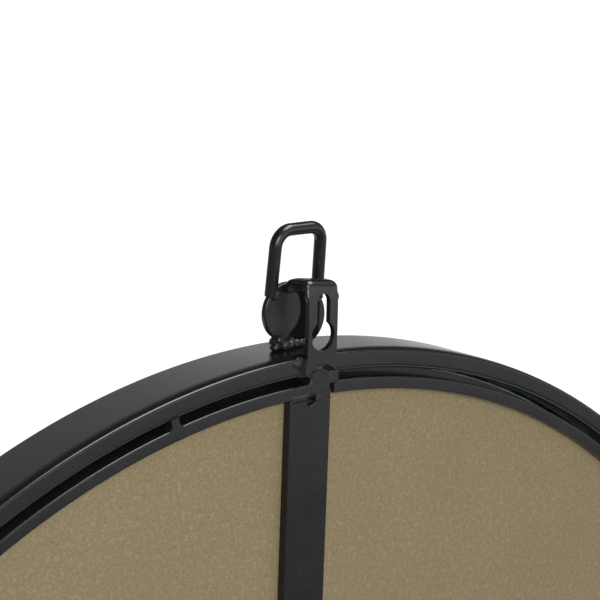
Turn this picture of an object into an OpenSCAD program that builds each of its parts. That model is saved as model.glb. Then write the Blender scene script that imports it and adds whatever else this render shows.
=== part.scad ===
// Round wall mirror in a deep black metal frame, hung by a keyhole strap, with a loop on top.
// Millimetres. The origin is the centre of the keyhole's round hole, on the strap's wall face.
// +Y points to the wall, -Y to the viewer and +Z up. Depth is counted from the wall face forwards.

/* [Frame] */
// Outer diameter of the frame
frame_d = 610; // [450:5:900]
// Depth of the frame's tube, front to back
frame_depth = 26.4; // [22:0.2:40]
// Width of the tube's back face
tube_w = 7.8; // [6:0.2:14]
// Wall of the tube
tube_wall = 1.2; // [0.8:0.1:1.6]
// Rounding of the tube's long edges
tube_edge_r = 1.2; // [0.8:0.1:2.4]
// Width of the front stop ring
stop_w = 3; // [2:0.2:5]
// Thickness of the front stop ring
stop_t = 1.6; // [1:0.2:2.4]
// Number of tack welds on the front stop ring
stop_tack_count = 8; // [4:1:12]

/* [Mirror and back] */
// Thickness of the mirror glass
glass_t = 4; // [3:0.5:6]
// Room between the glass's edge and the tube
glass_play = 0.8; // [0.5:0.1:1.5]
// Chamfer on the glass's edges
glass_chamfer = 0.5; // [0.2:0.1:1]
// Number of silicone dabs round the glass
dab_count = 8; // [4:1:16]
// Length of one silicone dab along the edge
dab_len = 16; // [8:1:40]
// Thickness of the foam mounting tape
tape_t = 1; // [0.5:0.1:2]
// Width of the foam mounting tape
tape_w = 25; // [12:1:40]
// Length of one strip of mounting tape
tape_len = 150; // [60:5:180]
// Distance of the tape strips from each other
tape_pitch = 110; // [60:5:120]
// Thickness of the backing board
board_t = 9; // [3:0.5:10]
// How far the board's edge lies inside the retaining ring's outer edge
board_inset = 0.6; // [0.3:0.1:2]

/* [Retaining ring and brace] */
// Width of the groove between the tube and the retaining ring
groove_w = 3.2; // [2:0.1:5]
// Width of the retaining ring
ring_w = 4.8; // [4:0.2:12]
// Thickness of the retaining ring
ring_t = 3.6; // [2:0.2:4.4]
// Rounding of the retaining ring's back edges
ring_edge_r = 0.5; // [0.3:0.1:0.9]
// Width of the brace bar
brace_w = 20; // [12:1:30]
// Thickness of the brace bar
brace_t = 3.6; // [2:0.2:4.4]
// How far the brace bar sits to one side of the middle
brace_shift = 3; // [-6:0.5:6]
// Gap between the brace bar's ends and the retaining ring
brace_gap = 0.3; // [0.1:0.1:0.8]
// Gap between the retaining ring's two ends, beside the wide weld
seam_gap = 2.2; // [1:0.1:3]
// Width of the round-bottomed notch in the brace bar's top end
notch_w = 4; // [2:0.5:8]
// Depth of that notch
notch_depth = 3.1; // [3:0.1:6]

/* [Keyhole strap] */
// Width of the strap
strap_w = 14.4; // [12.8:0.2:24]
// Thickness of the strap
strap_t = 2.2; // [1.5:0.1:3]
// Width of the folded head
head_w = 15.6; // [14.4:0.2:25]
// Diameter of the keyhole's round hole
hole_d = 11.2; // [9.8:0.2:12.6]
// Width of the keyhole's slot
slot_w = 6.3; // [4:0.1:8]
// Distance from the round hole's centre to the centre of the slot's round end
slot_rise = 12.5; // [10:0.5:13.5]
// Height of the round hole's centre above the top of the frame
hole_above_frame = 7.2; // [6.4:0.1:20]
// Height of the fold's crest above the round hole's centre
crest_rise = 20.5; // [20:0.1:40]
// Inner radius of the fold's first bend
fold_r = 0.8; // [0.5:0.1:3]
// Inner radius of the lip's bend
lip_r = 1.2; // [0.6:0.1:2]
// Fall of the fold's roof, in degrees
roof_fall = 13; // [5:1:25]
// Straight length of the lip below its bend
lip_len = 0.8; // [0.4:0.1:3]
// Length of the strap's foot on the tube's back face, at its sides
foot_len = 7; // [5:0.2:7]
// How far the foot's round hollow end reaches up in its middle
foot_hollow = 3.5; // [1:0.1:4]
// Gap between the lip and the disc, which the lip's weld fills
lip_gap = 2.2; // [0.6:0.1:2.6]

/* [Crest disc and loop] */
// How far in front of the tube's back face the disc's back face stands
disc_setback = 13.4; // [11:0.2:20]
// Width of the oval disc across its narrow way
disc_h = 22; // [21:0.2:40]
// Extra length of the disc along its long way
disc_stretch = 8.3; // [4:0.1:12]
// Turn of the disc's long way out of level, in degrees
disc_turn = 21.5; // [0:0.5:30]
// Thickness of the disc
disc_t = 2.4; // [1.5:0.1:3]
// How deep the disc's foot is let into the curve of the frame
disc_seat = 0.1; // [0.1:0.1:0.6]
// Diameter of the loop's round bar
bar_d = 4.8; // [3.6:0.1:8]
// Distance between the loop's legs at their ends, centre to centre
loop_w = 22.8; // [20:0.2:24]
// Height of the loop from its shorter leg's end to its crown
loop_h = 27; // [22:0.5:60]
// Inward slope of each leg, in degrees
leg_slope = 1.6; // [0:0.1:4]
// Centre-line radius of the loop's wider corner
corner_r_wide = 7.5; // [5:0.5:9]
// Centre-line radius of the loop's tighter corner
corner_r_tight = 5.5; // [4:0.5:9]
// Lean of the loop towards the wall, in degrees
loop_lean = 4; // [0:0.5:6]
// Depth by which the loop's slit legs sit astride the disc's shoulders
leg_lap = 1.8; // [1:0.1:3]

/* [Welds] */
// Height of a flush weld above the metal that it joins
weld_crown = 0.4; // [0.2:0.1:0.8]
// Length of one weld bridge in the groove
bridge_len = 4.7; // [4:0.1:12]
// Length of the wide weld below the strap
top_weld_len = 13.3; // [8:0.1:20]
// How far the wide weld sits to one side of the middle
top_weld_shift = -2.9; // [-5:0.1:5]
// Height of the wide weld's pad over the metal around it
pad_h = 1.2; // [0.6:0.1:1.6]
// Radius of a weld bead
bead_r = 1.5; // [1:0.1:2]

/* [Hidden] */

steel_black = "#1e1e20";
weld_black = "#262628";
fine = 96;
// Roundness of the large rings, and of small lumps and edges
ring_fine = 360;
coarse = 48;
// A cut runs this far past the face that it opens
past = 1;
// Straight and bent runs of one outline or bar overlap by this much
join = 0.02;

frame_r = frame_d / 2;
bore_r = frame_r - tube_w;
ring_r = bore_r - groove_w;
ring_bore_r = ring_r - ring_w;
// Height of the mirror's axis and of the top of the frame, from the keyhole
axis_z = -hole_above_frame - frame_r;
frame_top = -hole_above_frame;

// Depths from the wall face, back to front
back_at = strap_t;
board_at = back_at + ring_t;
tape_at = board_at + board_t;
glass_at = tape_at + tape_t;
stop_at = glass_at + glass_t;
front_at = back_at + frame_depth;
disc_at = back_at + disc_setback;
disc_mid = disc_at + disc_t / 2;

disc_r = disc_h / 2;
// The two arc centres of the turned disc lie this far beside, above and below its middle
lobe_x = disc_stretch / 2 * cos(disc_turn);
lobe_z = disc_stretch / 2 * sin(disc_turn);
disc_z = frame_top + disc_r + lobe_z - disc_seat;
// Where the loop's legs meet the disc's shoulders: the one on +X is higher by the longer leg's drop
shoulder_rise = sqrt(disc_r * disc_r - pow(loop_w / 2 - lobe_x, 2));
leg_end_z = disc_z + lobe_z + shoulder_rise - leg_lap;
leg_drop = 2 * lobe_z;

// The strap's foot ends in an arc, and the wide weld lies in it
foot_end_z = frame_top - foot_len;
hollow_r = (strap_w * strap_w / 4 + foot_hollow * foot_hollow) / (2 * foot_hollow);
hollow_z = foot_end_z + foot_hollow - hollow_r;
// The retaining ring's seam lies inside the end of the wide weld on -X
seam_at = top_weld_shift - top_weld_len / 2 + seam_gap;
notch_z = axis_z + sqrt(pow(ring_bore_r - brace_gap, 2) - brace_shift * brace_shift) - notch_depth + notch_w / 2;

// Angles round the mirror's axis, from the top towards +X
bridge_angles = [12.8, 62, 118, 167, 205, 247, 302];
groove_mid_r = bore_r - groove_w / 2;

// Turns a shape so that its +Z is the depth and its origin is on the mirror's axis
module on_axis() {
    translate([0, 0, axis_z]) rotate([90, 0, 0]) children();
}

// A flat ring between two radii, from one depth forwards
module flat_ring(inner, outer, at, thick) {
    on_axis() rotate_extrude($fn = ring_fine) translate([inner, at]) square([outer - inner, thick]);
}

// A piece of such a ring, centred on an angle from the top
module ring_piece(inner, outer, at, thick, angle, span) {
    on_axis()
        rotate([0, 0, 90 - angle - span / 2])
            rotate_extrude(angle = span, $fn = ring_fine)
                translate([inner, at]) square([outer - inner, thick]);
}

// A rectangle with round corners
module round_box(w, h, r) {
    translate([r, 0]) square([w - 2 * r, h]);
    translate([0, r]) square([w, h - 2 * r]);
    for (x = [r, w - r], y = [r, h - r]) translate([x, y]) circle(r = r, $fn = coarse);
}

// The space inside a radius, from one depth forwards
module core(r, at, thick) {
    on_axis() translate([0, 0, at]) cylinder(r = r, h = thick, $fn = ring_fine);
}

module tube_body() {
    on_axis() rotate_extrude($fn = ring_fine) translate([bore_r, back_at]) round_box(tube_w, frame_depth, tube_edge_r);
}

// Rolled rectangular tube, bent to a ring and closed
module outer_frame() {
    inner_r = max(tube_edge_r - tube_wall, 0.2);
    color(steel_black) difference() {
        tube_body();
        on_axis() rotate_extrude($fn = ring_fine)
            translate([bore_r + tube_wall, back_at + tube_wall])
                round_box(tube_w - 2 * tube_wall, frame_depth - 2 * tube_wall, inner_r);
    }
}

// Thin ring inside the tube that the glass rests against
module front_stop() {
    color(steel_black) flat_ring(bore_r - stop_w, bore_r, stop_at, stop_t);
}

// Tack welds in the corner between the front stop and the tube
module stop_tacks() {
    span = 4 * bead_r / bore_r * 180 / PI;
    color(weld_black) for (i = [0 : stop_tack_count - 1])
        on_axis() rotate([0, 0, i * 360 / stop_tack_count - span / 2]) rotate_extrude(angle = span, $fn = ring_fine)
            translate([bore_r, stop_at + stop_t]) intersection() {
                circle(r = bead_r, $fn = coarse);
                translate([-2 * bead_r, 0]) square(2 * bead_r);
            }
}

// Silvered glass with chamfered edges
module mirror_glass() {
    r = bore_r - glass_play;
    c = glass_chamfer;
    color("#d9e2e4") on_axis() translate([0, 0, glass_at]) rotate_extrude($fn = ring_fine)
        polygon([[0, 0], [r - c, 0], [r, c], [r, glass_t - c], [r - c, glass_t], [0, glass_t]]);
}

// Silicone dabs that keep the glass clear of the tube
module glazing_dabs() {
    r = bore_r - glass_play;
    span = dab_len / r * 180 / PI;
    color("#c9cccc") for (i = [0 : dab_count - 1])
        ring_piece(r, bore_r, glass_at + glass_chamfer, glass_t - 2 * glass_chamfer,
            (i + 0.5) * 360 / dab_count, span);
}

// Upright foam tape strips in two rows, between the board and the glass
module mounting_tape() {
    color("#e8e4d8") for (i = [-2 : 2], side = [-1, 1])
        translate([i * tape_pitch - tape_w / 2, -tape_at - tape_t,
            axis_z + side * tape_len * 0.62 - tape_len / 2])
            cube([tape_w, tape_t, tape_len]);
}

// Fibreboard disc behind the glass
module backing_board() {
    color("#85775a") core(ring_r - board_inset, board_at, board_t);
}

module ring_body() {
    difference() {
        on_axis() rotate_extrude($fn = ring_fine) translate([ring_bore_r, back_at]) {
            translate([0, ring_edge_r]) square([ring_w, ring_t - ring_edge_r]);
            translate([ring_edge_r, 0]) square([ring_w - 2 * ring_edge_r, ring_t]);
            for (x = [ring_edge_r, ring_w - ring_edge_r]) translate([x, ring_edge_r])
                circle(r = ring_edge_r, $fn = coarse);
        }
        translate([seam_at - seam_gap / 2, -board_at - past, axis_z + ring_bore_r - past])
            cube([seam_gap, ring_t + 2 * past, ring_w + 2 * past]);
    }
}

// Flat ring on the board's back, bent from a bar, its two ends a small gap apart
module retaining_ring() {
    color(steel_black) ring_body();
}

// A weld that fills the groove over a stretch, with the groove's end rounded into it
module groove_fill(angle, len) {
    span = len / groove_mid_r * 180 / PI;
    difference() {
        ring_piece(ring_r, bore_r, back_at - weld_crown, ring_t + weld_crown, angle, span);
        on_axis() rotate([0, 0, 90 - angle - span / 2]) translate([groove_mid_r, 0, back_at - past])
            cylinder(d = groove_w * 0.8, h = ring_t + 2 * past, $fn = fine);
    }
}

// Weld bridges that tie the retaining ring to the tube
module groove_welds() {
    color(weld_black) for (a = bridge_angles) groove_fill(a, bridge_len);
}

// The wide weld in the foot's hollow: it fills the groove and lies as a low pad on both rings and the brace
module top_weld() {
    angle = asin(top_weld_shift / groove_mid_r);
    reach = hollow_r + weld_crown;
    left = seam_at + seam_gap / 2 + weld_crown;
    right = top_weld_shift + top_weld_len / 2 - groove_w * 0.4;
    low = notch_z - notch_w / 2;
    color(weld_black) difference() {
        union() {
            groove_fill(angle, top_weld_len);
            intersection() {
                translate([0, -back_at, hollow_z]) rotate([90, 0, 0]) mirror([0, 0, 1])
                    cylinder(r1 = reach, r2 = reach - 2 * pad_h, h = pad_h, $fn = ring_fine);
                translate([left, -back_at - past, low]) cube([right - left, 2 * past + pad_h, 2 * reach]);
            }
        }
        strap_body();
        notch_cut();
        // Nothing of the pad is left beyond the notch, below its round middle
        translate([brace_shift, -board_at - past, low - past])
            cube([hollow_r, board_at + 2 * past, notch_z - low + past]);
    }
}

// The round-bottomed notch in the brace bar's top end, through the weld's pad too
module notch_cut() {
    translate([brace_shift, -board_at - past, notch_z]) {
        rotate([-90, 0, 0]) cylinder(d = notch_w, h = board_at + 2 * past, $fn = fine);
        translate([-notch_w / 2, 0, 0]) cube([notch_w, board_at + 2 * past, notch_w / 2]);
    }
}

// Upright flat bar across the board, notched at its top end
module brace_bar() {
    color(steel_black) difference() {
        intersection() {
            translate([brace_shift - brace_w / 2, -board_at, axis_z - ring_bore_r])
                cube([brace_w, brace_t, 2 * ring_bore_r]);
            core(ring_bore_r - brace_gap, board_at - brace_t - past, brace_t + 2 * past);
        }
        notch_cut();
    }
}

// Welds at the brace bar's lower end, one on each side of its middle
module brace_welds() {
    half = brace_w / 2;
    at = board_at - max(ring_t, brace_t) - weld_crown;
    // Start and finish of each weld from the bar's middle
    runs = [[-half + 1, -notch_w / 2], [notch_w / 2, half - 1]];
    color(weld_black) difference() {
        for (run = runs) {
            turn = asin((brace_shift + (run[0] + run[1]) / 2) / ring_bore_r);
            span = (run[1] - run[0]) / ring_bore_r * 180 / PI;
            ring_piece(ring_bore_r - brace_gap - bead_r, ring_bore_r + bead_r * 0.7, at, 2 * weld_crown,
                180 - turn, span);
        }
        ring_body();
        brace_bar();
    }
}

// Outline of the strap from the side: x is the depth from the wall face, y is the height
module strap_side() {
    outer = fold_r + strap_t;
    bend_z = crest_rise - outer;
    lip_outer = lip_r + strap_t;
    turn = 90 - roof_fall;
    // Centre of the lip's bend, which brings the lip to its gap behind the disc
    lip_x = disc_at - lip_gap - lip_outer;
    roof_from = [outer + outer * cos(turn), bend_z + outer * sin(turn)];
    roof_run = (lip_x + lip_outer * cos(turn) - roof_from[0]) / cos(roof_fall);
    lip_z = roof_from[1] - roof_run * sin(roof_fall) - lip_outer * sin(turn);
    translate([0, foot_end_z]) square([strap_t, bend_z - foot_end_z]);
    translate([outer, bend_z]) bend(fold_r, outer, turn, 180);
    translate(roof_from) rotate([0, 0, -roof_fall]) translate([0, -strap_t]) square([roof_run + join, strap_t]);
    translate([lip_x, lip_z]) bend(lip_r, lip_outer, 0, turn);
    translate([disc_at - lip_gap - strap_t, lip_z - lip_len]) square([strap_t, lip_len]);
}

// Height of the lip's lower end
function lip_end() = let (outer = fold_r + strap_t, lip_outer = lip_r + strap_t, turn = 90 - roof_fall,
    from = [outer + outer * cos(turn), crest_rise - outer + outer * sin(turn)],
    run = (disc_at - lip_gap - lip_outer + lip_outer * cos(turn) - from[0]) / cos(roof_fall))
    from[1] - run * sin(roof_fall) - lip_outer * sin(turn) - lip_len;

// A bent stretch of the outline between two radii and two angles
module bend(inner, outer, from, to) {
    reach = 2 * outer;
    difference() {
        intersection() {
            circle(r = outer, $fn = fine);
            polygon([[0, 0], [reach * cos(from), reach * sin(from)],
                [reach * cos((from + to) / 2), reach * sin((from + to) / 2)], [reach * cos(to), reach * sin(to)]]);
        }
        circle(r = inner, $fn = fine);
    }
}

module strap_body() {
    head_z = slot_rise + slot_w / 2 - past;
    difference() {
        union() {
            translate([-strap_w / 2, 0, 0]) rotate([90, 0, 90]) mirror([1, 0, 0]) linear_extrude(strap_w) strap_side();
            translate([-head_w / 2, 0, 0]) rotate([90, 0, 90]) mirror([1, 0, 0]) linear_extrude(head_w)
                intersection() {
                    strap_side();
                    translate([-past, head_z]) square([disc_at + 2 * past, crest_rise]);
                }
        }
        rotate([90, 0, 0]) translate([0, 0, -past]) {
            cylinder(d = hole_d, h = strap_t + 2 * past, $fn = fine);
            translate([0, slot_rise, 0]) cylinder(d = slot_w, h = strap_t + 2 * past, $fn = fine);
            translate([-slot_w / 2, 0, 0]) cube([slot_w, slot_rise, strap_t + 2 * past]);
            translate([0, hollow_z, 0]) cylinder(r = hollow_r, h = strap_t + 2 * past, $fn = ring_fine);
        }
    }
}

// Flat strap with a keyhole, folded forwards over the top to a lip on the disc
module hanger_strap() {
    color(steel_black) strap_body();
}

// Tack welds beside the strap's foot, on the tube's back face
module strap_foot_welds() {
    color(weld_black) difference() {
        for (side = [-1, 1])
            translate([side * (strap_w / 2 + bead_r), -back_at, frame_top - bead_r * 1.6])
                sphere(r = bead_r * 1.6, $fn = coarse);
        strap_body();
        core(frame_r + past, back_at, frame_depth);
        rotate([90, 0, 0]) translate([0, 0, -past]) cylinder(d = hole_d, h = 2 * past, $fn = fine);
        translate([-strap_w, 0, frame_top - strap_w]) cube([2 * strap_w, bead_r * 2, 2 * strap_w]);
    }
}

module disc_blank(grow = 0) {
    translate([0, -disc_at + grow, disc_z]) rotate([90, 0, 0]) linear_extrude(disc_t + 2 * grow) rotate(disc_turn) {
        for (side = [-1, 1]) translate([side * disc_stretch / 2, 0]) circle(r = disc_r, $fn = fine);
        square([disc_stretch, disc_h], center = true);
    }
}

module disc_body() {
    difference() {
        disc_blank();
        core(frame_r, back_at, frame_depth);
    }
}

// Thin oval steel disc that stands on the tube, one end turned up
module crest_disc() {
    color(steel_black) disc_body();
}

// Rough welds in the corners between the disc's foot and the tube
module disc_foot_welds() {
    // Place beside the middle, height over the frame, radius and reach past each face, in bead radii
    lumps = [[-3, 0, 1.1, 1.3], [-4.5, 0.5, 1.6, 0.9], [3.4, 0.6, 1.3, 1.3], [5.3, 0.9, 1.9, 1.1]];
    color(weld_black) difference() {
        for (lump = lumps) {
            len = disc_t + 2 * lump[3] * bead_r;
            translate([lump[0] * bead_r, len / 2 - disc_mid, frame_top + lump[1] * bead_r])
                rotate([90, 0, 0]) cylinder(r = lump[2] * bead_r, h = len, $fn = fine);
        }
        disc_body();
        core(frame_r, back_at, frame_depth);
    }
}

// Round bead between the strap's lip and the disc
module strap_lip_weld() {
    len = strap_w - 2 * bead_r;
    color(weld_black) difference() {
        translate([-len / 2, -disc_at + lip_gap / 2, lip_end() + weld_crown]) rotate([0, 90, 0])
            cylinder(r = lip_gap / 2 + weld_crown, h = len, $fn = fine);
        strap_body();
        disc_body();
    }
}

// Where the centre of a corner's bend lies beside the loop's middle
function corner_x(corner_r) = loop_w / 2 - (loop_h - bar_d / 2 - corner_r) * tan(leg_slope)
    - corner_r / cos(leg_slope);

// One leg with its corner, which is a touch fuller than the leg that it closes round
module loop_side(corner_r, drop) {
    centre_z = loop_h - bar_d / 2 - corner_r;
    leg_len = (centre_z + corner_r * sin(leg_slope)) / cos(leg_slope);
    translate([loop_w / 2, 0, 0]) rotate([0, -leg_slope, 0]) translate([0, 0, -drop])
        cylinder(d = bar_d, h = leg_len + drop + 8 * join, $fn = fine);
    translate([corner_x(corner_r), 0, centre_z]) rotate([90, 0, 0]) rotate([0, 0, leg_slope])
        rotate_extrude(angle = 90 - leg_slope, $fn = fine)
            translate([corner_r, 0]) circle(d = bar_d + 1.5 * join, $fn = fine);
}

// The loop's straight crown between its two corners
module loop_crown() {
    left = -corner_x(corner_r_tight) - 8 * join;
    right = corner_x(corner_r_wide) + 8 * join;
    translate([left, 0, loop_h - bar_d / 2]) rotate([0, 90, 0]) cylinder(d = bar_d, h = right - left, $fn = fine);
}

module loop_body() {
    difference() {
        translate([0, -disc_mid, leg_end_z]) rotate([-loop_lean, 0, 0]) {
            loop_side(corner_r_wide, 0);
            mirror([1, 0, 0]) loop_side(corner_r_tight, leg_drop);
            loop_crown();
        }
        disc_blank();
    }
}

// Bent round bar, its slit ends astride the disc's shoulders
module top_loop() {
    color(steel_black) loop_body();
}

// Small welds on the disc's faces at the loop's ends
module loop_welds() {
    color(weld_black) difference() {
        for (side = [-1, 1], at = [disc_at, disc_at + disc_t])
            translate([side * (loop_w / 2 - bead_r / 2), -at, leg_end_z - bead_r / 4 - (side < 0 ? leg_drop : 0)])
                sphere(r = bead_r, $fn = coarse);
        disc_blank();
        loop_body();
    }
}

outer_frame();
front_stop();
stop_tacks();
mirror_glass();
glazing_dabs();
mounting_tape();
backing_board();
retaining_ring();
groove_welds();
top_weld();
brace_bar();
brace_welds();
hanger_strap();
strap_foot_welds();
crest_disc();
disc_foot_welds();
strap_lip_weld();
top_loop();
loop_welds();
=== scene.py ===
"""Finishes, welds and stage for a round wall mirror that hangs by a keyhole strap."""
from functools import reduce
from math import asin, atan, cos, degrees, hypot, pi, radians, sin, sqrt, tan

import bmesh
import bpy
from bpy.props import FloatProperty, FloatVectorProperty, PointerProperty
from mathutils import Matrix, Vector, noise


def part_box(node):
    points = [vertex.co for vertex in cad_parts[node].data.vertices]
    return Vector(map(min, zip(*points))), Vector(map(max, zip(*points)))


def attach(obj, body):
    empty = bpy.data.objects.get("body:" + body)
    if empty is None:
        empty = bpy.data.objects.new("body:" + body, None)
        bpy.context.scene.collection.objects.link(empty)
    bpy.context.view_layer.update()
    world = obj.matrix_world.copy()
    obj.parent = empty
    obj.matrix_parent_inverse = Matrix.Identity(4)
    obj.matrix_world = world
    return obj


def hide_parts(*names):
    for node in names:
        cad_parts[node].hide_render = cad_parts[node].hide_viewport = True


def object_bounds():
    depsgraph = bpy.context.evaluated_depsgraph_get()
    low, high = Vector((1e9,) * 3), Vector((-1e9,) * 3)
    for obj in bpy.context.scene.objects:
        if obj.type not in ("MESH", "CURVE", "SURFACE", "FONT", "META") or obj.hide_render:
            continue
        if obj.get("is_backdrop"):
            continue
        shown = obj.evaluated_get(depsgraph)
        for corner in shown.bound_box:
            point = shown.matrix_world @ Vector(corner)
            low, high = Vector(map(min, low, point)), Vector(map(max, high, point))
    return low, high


bl_info = {
    "name": "Round mirror finishes",
    "version": (1, 0, 0),
    "blender": (4, 5, 0),
    "location": "View3D > Sidebar > Mirror",
    "description": "Finishes, welds and stage for a round wall mirror",
    "category": "Object",
}

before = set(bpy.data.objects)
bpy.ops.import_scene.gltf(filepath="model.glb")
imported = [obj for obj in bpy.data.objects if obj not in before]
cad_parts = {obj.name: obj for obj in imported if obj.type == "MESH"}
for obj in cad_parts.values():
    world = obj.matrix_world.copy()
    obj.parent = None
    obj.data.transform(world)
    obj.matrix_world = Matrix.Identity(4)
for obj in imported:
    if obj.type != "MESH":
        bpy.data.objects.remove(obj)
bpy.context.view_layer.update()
MM = 0.001
WHITE = (1.0, 1.0, 1.0, 1.0)

# The frame, in millimetres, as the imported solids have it
FRAME_R = 305.0
AXIS_Z = -312.2
# Depths of the tube's back and front faces from the wall
BACK_DEPTH, FRONT_DEPTH = 2.2, 28.6
GROOVE_OUTER_R = 297.2
GROOVE_INNER_R = 294.0
GROOVE_MID_R = (GROOVE_INNER_R + GROOVE_OUTER_R) / 2
RING_BORE_R = 289.2
BRIDGE_ANGLES = (12.8, 62, 118, 167, 205, 247, 302)
# Ends of the retaining ring beside its seam, in degrees from the top
SEAM_ENDS = (-1.06, 358.339)
# Half the strap's width; height and radius of the arc that ends its foot, and its lowest height
STRAP_HALF = 7.2
HOLLOW_Z, HOLLOW_R, FOOT_Z = -19.856, 9.156, -14.2
# Middle of the round-bottomed notch in the brace bar's top end
NOTCH_X, NOTCH_Z, NOTCH_R = 3.0, -24.42, 2.0


class MirrorSizes(bpy.types.PropertyGroup):
    """Sizes of the pieces that are made in mesh code"""

    strap_w: FloatProperty(
        name="Strap width", description="Width of the keyhole strap",
        default=14.4 * MM, unit="LENGTH")
    strap_t: FloatProperty(
        name="Strap thickness", description="Thickness of the strap's steel",
        default=2.2 * MM, unit="LENGTH")
    head_w: FloatProperty(
        name="Strap head width", description="Width of the strap's folded head",
        default=15.6 * MM, unit="LENGTH")
    hole_d: FloatProperty(
        name="Keyhole diameter", description="Diameter of the keyhole's round hole",
        default=11.2 * MM, unit="LENGTH")
    slot_w: FloatProperty(
        name="Slot width", description="Width of the keyhole's slot",
        default=6.3 * MM, unit="LENGTH")
    slot_rise: FloatProperty(
        name="Slot rise", description="Height of the slot's round end over the hole",
        default=12.5 * MM, unit="LENGTH")
    bar_d: FloatProperty(
        name="Loop bar", description="Diameter of the loop's round bar",
        default=4.8 * MM, unit="LENGTH")
    loop_w: FloatProperty(
        name="Loop width", description="Distance between the loop's legs at their ends",
        default=22.8 * MM, unit="LENGTH")
    loop_h: FloatProperty(
        name="Loop height", description="Height of the loop above its shorter leg's end",
        default=27.0 * MM, unit="LENGTH")
    edge_r: FloatProperty(
        name="Coated edge radius", description="Rounding that the coat gives cut edges",
        default=0.4 * MM, unit="LENGTH")


class MirrorFinishes(bpy.types.PropertyGroup):
    """Colours and gloss of the finishes"""

    coat_colour: FloatVectorProperty(
        name="Powder coat", description="Colour of the powder coat",
        subtype="COLOR", size=3, min=0, max=1, default=(0.0095, 0.0096, 0.0103))
    coat_roughness: FloatProperty(
        name="Coat roughness", description="Roughness of the powder coat",
        default=0.25, min=0, max=1, subtype="FACTOR")
    board_colour: FloatVectorProperty(
        name="Board", description="Colour of the fibreboard",
        subtype="COLOR", size=3, min=0, max=1, default=(0.243, 0.193, 0.107))
    glass_tint: FloatVectorProperty(
        name="Glass edge", description="Tint of the glass at its edge",
        subtype="COLOR", size=3, min=0, max=1, default=(0.35, 0.52, 0.45))


class MirrorStage(bpy.types.PropertyGroup):
    """Camera and lamps"""

    lens: FloatProperty(
        name="Lens", description="Focal length of the camera, in millimetres",
        default=126.0, min=10)
    camera_place: FloatVectorProperty(
        name="Camera place", description="Where the camera stands",
        subtype="TRANSLATION", size=3, default=(0.50342, 0.55154, 0.16699))
    camera_yaw: FloatProperty(
        name="Camera yaw", description="Turn of the camera from straight at the back",
        subtype="ANGLE", default=radians(41.705))
    camera_pitch: FloatProperty(
        name="Camera pitch", description="Rise of the camera's view",
        subtype="ANGLE", default=radians(-11.646))
    camera_roll: FloatProperty(
        name="Camera roll", description="Roll of the camera",
        subtype="ANGLE", default=radians(1.995))
    rim_power: FloatProperty(
        name="Rim lamp", description="Power of the softbox above, in watts",
        default=44.0, min=0)
    key_power: FloatProperty(
        name="Key lamp", description="Power of the softbox behind, in watts",
        default=32.0, min=0)


def fill(node, values):
    """Sets a node's inputs by their names"""
    for label, value in values.items():
        node.inputs[label].default_value = value


class Nodes:
    """Adds and links shader nodes in a tree, with short calls"""

    def __init__(self, tree):
        self.tree = tree

    def add(self, kind, **values):
        """A new node with its settings"""
        node = self.tree.nodes.new(kind)
        for key, value in values.items():
            setattr(node, key, value)
        return node

    def link(self, source, node, label):
        """A link from an output to a node's input"""
        self.tree.links.new(source, node.inputs[label])

    def noise(self, vector, scale, detail=2.0, rough=0.5):
        """Soft noise from 0 to 1; a larger scale is finer"""
        node = self.add("ShaderNodeTexNoise")
        fill(node, {"Scale": scale, "Detail": detail, "Roughness": rough})
        self.link(vector, node, "Vector")
        return node.outputs["Fac"]

    def remap(self, value, low, high, to_low=0.0, to_high=1.0, way="LINEAR"):
        """The value from low to high, drawn to another range and held at its ends"""
        node = self.add("ShaderNodeMapRange", interpolation_type=way)
        fill(node, {"From Min": low, "From Max": high, "To Min": to_low, "To Max": to_high})
        self.link(value, node, "Value")
        return node.outputs["Result"]

    def ease(self, value, low, high, to_low=0.0, to_high=1.0):
        """As remap, with soft ends"""
        return self.remap(value, low, high, to_low, to_high, "SMOOTHSTEP")

    def maths(self, operation, a, b):
        """One sum or product of numbers and sockets"""
        node = self.add("ShaderNodeMath", operation=operation)
        for socket, value in zip(node.inputs, (a, b)):
            if isinstance(value, (int, float)):
                socket.default_value = value
            else:
                self.tree.links.new(value, socket)
        return node.outputs[0]

    def times(self, *factors):
        """All factors multiplied"""
        return reduce(lambda a, b: self.maths("MULTIPLY", a, b), factors)

    def mix(self, factor, a, b):
        """Colour a at factor 0, b at 1"""
        node = self.add("ShaderNodeMix", data_type="RGBA")
        for socket, value in ((node.inputs[0], factor), (node.inputs[6], a), (node.inputs[7], b)):
            if isinstance(value, (int, float)):
                socket.default_value = value
            elif isinstance(value, tuple):
                socket.default_value = (*value, 1.0)
            else:
                self.tree.links.new(value, socket)
        return node.outputs[2]


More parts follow.
